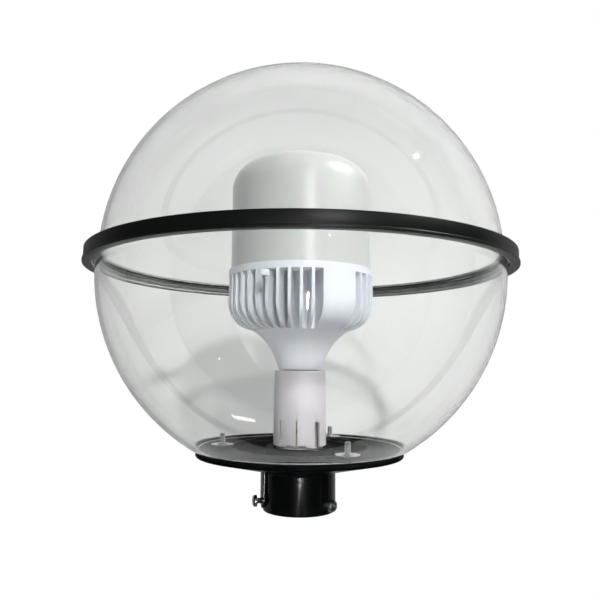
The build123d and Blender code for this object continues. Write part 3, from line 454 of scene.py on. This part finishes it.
nickel = finish("nickel_plate", (0.72, 0.70, 0.66), 0.22, mottle=0.12, spread=0.15, grain=2200, drift=150,
                peel=0.01, shader={"Metallic": 1.0})
paint(nickel, "lampholder_thread_shell", "bulb_cap_shell")

# Lamp cap
# The lamp's screw cap: a solder tip, a black glass insulator and the plated
# threaded shell that is crimped and glued into the neck.
solder = finish("solder", (0.58, 0.58, 0.60), 0.35, mottle=0.3, spread=0.2, grain=1800, drift=300,
                peel=0.04, shader={"Metallic": 1.0})
paint(solder, "bulb_tip_contact")
black_glass = finish("black_glass", (0.008, 0.008, 0.009), 0.08, mottle=0.4, grain=700, peel=0.02,
                     shader={"IOR": 1.52})
paint(black_glass, "bulb_cap_insulator")

# Lamp housing
# A white moulded bell with a rounded shoulder, cut into radial fins on two
# sides and left plain between them. A cool white with a soft satin shine.
lamp_white = finish("lamp_white_plastic", (0.66, 0.685, 0.73), 0.34, mottle=0.04, spread=0.08, grain=1100,
                    drift=30, peel=0.015,
                    shader={"Subsurface Weight": 0.04, "Subsurface Scale": 0.001, "Specular IOR Level": 0.35})
built(from_solid("bulb_housing"), "lamp_housing", lamp_white, "bulb", ["bulb_housing"], sharp=15,
      turned_walls=True)
GATE_R, GATE_H, GATE_AT, GATE_SIZE, GATE_ROUND = 64.5, 168.6, -112.5, (7.0, 4.6, 4.4), 0.5
bm = bmesh.new()
bmesh.ops.create_cube(bm, size=1)
bmesh.ops.scale(bm, vec=GATE_SIZE, verts=bm.verts)
soften(bm, GATE_ROUND, over=CREASE)
bmesh.ops.translate(bm, vec=(GATE_R, 0, GATE_H), verts=bm.verts)
bmesh.ops.rotate(bm, cent=(0, 0, 0), matrix=Matrix.Rotation(radians(GATE_AT), 3, "Z"), verts=bm.verts)
built(bm, "gate_mark", lamp_white, "bulb")

# Inside the lamp
# An aluminium cup carries the light board with its chips. The driver card
# stands in the cup with two capacitors, a transformer and its wires.
raw_aluminium = finish("raw_aluminium", (0.70, 0.71, 0.72), 0.46, mottle=0.12, spread=0.2, grain=1700,
                       drift=120, peel=0.015, shader={"Metallic": 1.0})
paint(raw_aluminium, "bulb_core", "led_board")
phosphor = finish("phosphor_resin", (0.86, 0.70, 0.16), 0.3, mottle=0.12, grain=4000, drift=600, peel=0.01)
paint(phosphor, "led_chips")
paint(zinc, "board_screws")
card_green = finish("circuit_card", (0.03, 0.17, 0.07), 0.35, mottle=0.3, spread=0.2, grain=1200, drift=260,
                    peel=0.03, shader={"Coat Weight": 0.3})
paint(card_green, "driver_board")
sleeve_blue = finish("capacitor_sleeve", (0.012, 0.02, 0.07), 0.25, mottle=0.2, grain=600, peel=0.03)
paint(sleeve_blue, "driver_capacitors")
tape_yellow = finish("transformer_tape", (0.70, 0.52, 0.06), 0.42, mottle=0.2, grain=350, drift=150,
                     peel=0.05)
paint(tape_yellow, "driver_transformer")
wire_white = finish("wire_sleeve", (0.68, 0.67, 0.65), 0.45, mottle=0.1, grain=1500, peel=0.02)
paint(wire_white, "bulb_wires")

# Diffuser
# A milky translucent shade, straight below with a rounded corner and a shallow
# crown, its skirt let into the housing's rim. Satin, with a soft wide shine.
milky = finish("milky_diffuser", (0.455, 0.47, 0.463), 0.3, mottle=0.03, spread=0.05, grain=800, drift=18,
               peel=0.006, shader={"Subsurface Weight": 0.3, "Subsurface Scale": 0.004, "Coat Weight": 0.8,
                                   "Coat Roughness": 0.28})
SIDE_R, CORNER_R, CROWN_R, TOP_H = 54.0, 21.0, 104.0, 269.9
SKIRT_R, SEAT_H, RIM_H = 53.2, 176.0, 178.3
CORNER_AT_R = SIDE_R - CORNER_R
CROWN_AT_H = TOP_H - CROWN_R
CORNER_AT_H = CROWN_AT_H + sqrt((CROWN_R - CORNER_R) ** 2 - CORNER_AT_R**2)
corner_turn = degrees(atan2(CORNER_AT_H - CROWN_AT_H, CORNER_AT_R))
SHADE_WALL, CORNER_STEPS, TOP_STEPS = 1.8, 18, 14
bm = bmesh.new()
first = start(bm, SIDE_R, RIM_H)
side = to(bm, first, SIDE_R, CORNER_AT_H)
crown_foot = swing(bm, side, (CORNER_AT_R, CORNER_AT_H), corner_turn, CORNER_STEPS)
crown = swing(bm, crown_foot, (0, CROWN_AT_H), 90 - corner_turn, TOP_STEPS)
under = to(bm, crown, 0, TOP_H - SHADE_WALL)
inner_corner = swing(bm, under, (0, CROWN_AT_H), corner_turn - 90, TOP_STEPS)
inner_side = swing(bm, inner_corner, (CORNER_AT_R, CORNER_AT_H), -corner_turn, CORNER_STEPS)
low = to(bm, to(bm, inner_side, SIDE_R - SHADE_WALL, SEAT_H), SKIRT_R, SEAT_H)
last = to(bm, low, SKIRT_R, RIM_H)
axis_edge = [e for e in crown.link_edges if e.other_vert(crown) is under]
bmesh.ops.delete(bm, geom=axis_edge, context="EDGES_FACES")
turned(bm, last, first, steps=120)
built(bm, "diffuser", milky, "bulb", ["bulb_diffuser"])


# Studio
# A floor well below the light and a wall close behind it, in a plain room. Five
# lamps light the pieces and four are only mirrored in them. The camera looks
# from just below the ring, as the photograph does.
GLOBE_AT = (0, 0, 0.2)


def lamp(name, aim, distance, size, power, tall=None, mirrored=False, target=GLOBE_AT, spread=180):
    """Area lamp turned to a target. It lights the pieces, or is only mirrored in them."""
    data = bpy.data.lights.new(name, "AREA")
    data.shape = "RECTANGLE" if tall else "DISK"
    data.size = size
    if tall:
        data.size_y = tall
    data.energy = power
    data.spread = radians(spread)
    thing = bpy.data.objects.new(name, data)
    bpy.context.scene.collection.objects.link(thing)
    out = Vector(aim).normalized()
    turn = out.to_track_quat("Z", "Y").to_matrix().to_4x4()
    thing.matrix_world = Matrix.Translation(Vector(target) + out * distance) @ turn
    thing.visible_camera = False
    thing.visible_glossy = thing.visible_transmission = mirrored
    thing.visible_diffuse = not mirrored


lamp("front_high", (0.118, -0.806, 0.58), 1.5, 0.08, 6)
lamp("front", (0.25, -0.869, 0.456), 1.5, 0.08, 13.2)
lamp("window", (0.777, -0.419, 0.47), 1.5, 0.26, 3.7)
lamp("pane", (0.71, -0.16, 0.68), 1.5, 0.05, 24, tall=0.03, mirrored=True)
lamp("low", (0.08, -1.0, -0.55), 1.5, 0.9, 11)
lamp("ceiling", (-0.1, -0.1, 1.0), 1.6, 1.2, 4)
lamp("tube", (0.33, 0.312, 0.891), 0.6, 0.02, 0.06, tall=0.07, mirrored=True,
     target=(-0.05, 0.081, 0.058), spread=24)
lamp("strip", (0.22, -0.93, 0.25), 1.7, 0.02, 5, tall=0.28, mirrored=True)
lamp("doorway", (0.06, -1.0, -0.36), 1.6, 0.02, 8, tall=0.2, mirrored=True)

# The room is pale to a ray that has only passed through glass, and dimmer to
# one that has met a piece, so that the globe looks clear from every side.
world = bpy.data.worlds.new("room")
bpy.context.scene.world = world
world.use_nodes = True
tree = world.node_tree
background = tree.nodes["Background"]
background.inputs["Color"].default_value = (1, 1, 1, 1)
place = node(tree, "TexCoord")
facing = node(tree, "SeparateXYZ")
behind = node(tree, "MapRange", {"From Min": 0.1, "From Max": 0.9}, interpolation_type="SMOOTHSTEP")
path = node(tree, "LightPath")
matt = node(tree, "MapRange", {"To Min": 0.18, "To Max": 0.5})
shiny = node(tree, "MapRange", {"To Min": 0.02, "To Max": 0.12})
bounced = node(tree, "Math", operation="ADD", use_clamp=True)
dimmed = node(tree, "MapRange", {"To Min": 0.16, "To Max": 0.88})
straight = node(tree, "MapRange", {"To Min": 0.80, "To Max": 0.88})
clear = node(tree, "Mix", data_type="FLOAT")
met = node(tree, "Mix", data_type="FLOAT")
room = node(tree, "Mix", data_type="FLOAT")
seen = node(tree, "Mix", {"B": 1.0}, data_type="FLOAT")
join(
    tree,
    ((place, "Generated"), (facing, 0)), ((facing, "Y"), (behind, "Value")),
    ((behind, 0), (matt, "Value")), ((behind, 0), (shiny, "Value")), ((behind, 0), (dimmed, "Value")),
    ((behind, 0), (straight, "Value")),
    ((path, "Diffuse Depth"), (bounced, 0)), ((path, "Glossy Depth"), (bounced, 1)),
    ((bounced, 0), (clear, "Factor")),
    ((straight, 0), (clear, "A")), ((dimmed, 0), (clear, "B")),
    ((path, "Is Glossy Ray"), (met, "Factor")), ((matt, 0), (met, "A")), ((shiny, 0), (met, "B")),
    ((path, "Is Transmission Ray"), (room, "Factor")), ((met, 0), (room, "A")), ((clear, 0), (room, "B")),
    ((path, "Is Camera Ray"), (seen, "Factor")), ((room, 0), (seen, "A")),
    ((seen, 0), (background, "Strength")),
)


def staged(bm, name, material):
    """Puts a plane of the studio in place."""
    mesh = bpy.data.meshes.new(name)
    bm.to_mesh(mesh)
    bm.free()
    mesh.materials.append(material)
    plane = bpy.data.objects.new(name, mesh)
    bpy.context.scene.collection.objects.link(plane)


# The floor shows white to the camera and through the glass. Its own colour is
# dark, so it throws little light up and shows no shadow.
floor_paint = bpy.data.materials.new("pale_floor")
floor_paint.use_nodes = True
tree = floor_paint.node_tree
surface = tree.nodes["Principled BSDF"]
surface.inputs["Roughness"].default_value = 0.9
grain = node(tree, "TexNoise", {"Scale": 4.0, "Detail": 3.0})
tone = node(tree, "MapRange", {"To Min": 0.04, "To Max": 0.06})
glow = node(tree, "Emission", {"Color": (1, 1, 1, 1), "Strength": 1.0})
path = node(tree, "LightPath")
bounced = node(tree, "Math", operation="ADD")
through = node(tree, "Math", operation="SUBTRACT", use_clamp=True)
either = node(tree, "Math", operation="MAXIMUM")
lit = node(tree, "MixShader")
join(
    tree,
    ((grain, 0), (tone, "Value")), ((tone, 0), (surface, "Base Color")),
    ((path, "Diffuse Depth"), (bounced, 0)), ((path, "Glossy Depth"), (bounced, 1)),
    ((path, "Is Transmission Ray"), (through, 0)), ((bounced, 0), (through, 1)),
    ((path, "Is Camera Ray"), (either, 0)), ((through, 0), (either, 1)),
    ((either, 0), (lit, 0)), ((surface, 0), (lit, 1)), ((glow, 0), (lit, 2)),
    ((lit, 0), (tree.nodes["Material Output"], 0)),
)
FLOOR_H = -0.9
bm = bmesh.new()
bmesh.ops.create_grid(bm, x_segments=1, y_segments=1, size=3)
bmesh.ops.translate(bm, verts=bm.verts, vec=(0, 0, FLOOR_H))
staged(bm, "floor", floor_paint)

# The wall is white to the camera and darker where it is mirrored in a piece. Its colour carries painted shade
# that darkens it towards the left, and it isn't seen from its back.
wall_paint = bpy.data.materials.new("pale_wall")
wall_paint.use_nodes = True
wall_paint.cycles.emission_sampling = "NONE"
tree = wall_paint.node_tree
surface = tree.nodes["Principled BSDF"]
surface.inputs["Roughness"].default_value = 1.0
surface.inputs["Specular IOR Level"].default_value = 0.0
place = node(tree, "TexCoord")
grain = node(tree, "TexNoise", {"Scale": 5.0, "Detail": 4.0})
tone = node(tree, "MapRange", {"From Min": 0.3, "From Max": 0.7, "To Min": 0.82, "To Max": 0.87})
path = node(tree, "LightPath")
white = node(tree, "Emission", {"Color": (1, 1, 1, 1), "Strength": 1.0})
gone = node(tree, "BsdfTransparent")
side = node(tree, "NewGeometry")
mirrored = node(tree, "Math", operation="SUBTRACT", use_clamp=True)
dim = node(tree, "Math", {1: -0.62, 2: 1.0}, operation="MULTIPLY_ADD")
seen_tone = node(tree, "Math", operation="MULTIPLY")
across = node(tree, "SeparateXYZ")
# Painted shade: the wall's colour darkens towards the left.
painted_shade_leftward = node(tree, "MapRange", {"From Min": -0.42, "From Max": -0.08, "To Min": 0.80, "To Max": 1.0})
tone_with_painted_shade = node(tree, "Math", operation="MULTIPLY")
lit = node(tree, "MixShader")
fronted = node(tree, "MixShader")
join(
    tree,
    ((place, "Object"), (grain, "Vector")),
    ((grain, 0), (tone, "Value")), ((path, "Is Glossy Ray"), (mirrored, 0)),
    ((path, "Is Transmission Ray"), (mirrored, 1)), ((mirrored, 0), (dim, 0)),
    ((place, "Object"), (across, 0)), ((across, "X"), (painted_shade_leftward, "Value")),
    ((tone, 0), (tone_with_painted_shade, 0)), ((painted_shade_leftward, 0), (tone_with_painted_shade, 1)),
    ((tone_with_painted_shade, 0), (seen_tone, 0)), ((dim, 0), (seen_tone, 1)), ((seen_tone, 0), (surface, "Base Color")),
    ((path, "Is Camera Ray"), (lit, 0)), ((surface, 0), (lit, 1)), ((white, 0), (lit, 2)),
    ((side, "Backfacing"), (fronted, 0)), ((lit, 0), (fronted, 1)), ((gone, 0), (fronted, 2)),
    ((fronted, 0), (tree.nodes["Material Output"], 0)),
)
WALL_AT = (0, 0.30, 1.1)
bm = bmesh.new()
bmesh.ops.create_grid(bm, x_segments=1, y_segments=1, size=2)
bmesh.ops.rotate(bm, verts=bm.verts, cent=(0, 0, 0), matrix=Matrix.Rotation(pi / 2, 3, "X"))
bmesh.ops.translate(bm, verts=bm.verts, vec=WALL_AT)
staged(bm, "wall", wall_paint)

CAMERA_AT, CAMERA_TILT, CAMERA_ROLL = (0, -0.46102, 0.10457), 96.4646, 0.4443
lens = bpy.data.cameras.new("camera")
lens.lens, lens.sensor_width = 35.91, 36
lens.shift_x = -0.0012
lens.clip_start = 0.01
camera = bpy.data.objects.new("camera", lens)
bpy.context.scene.collection.objects.link(camera)
tilted = Matrix.Rotation(radians(CAMERA_TILT), 4, "X") @ Matrix.Rotation(radians(CAMERA_ROLL), 4, "Z")
camera.matrix_world = Matrix.Translation(CAMERA_AT) @ tilted
bpy.context.scene.camera = camera
bpy.context.scene.view_settings.view_transform = "Standard"
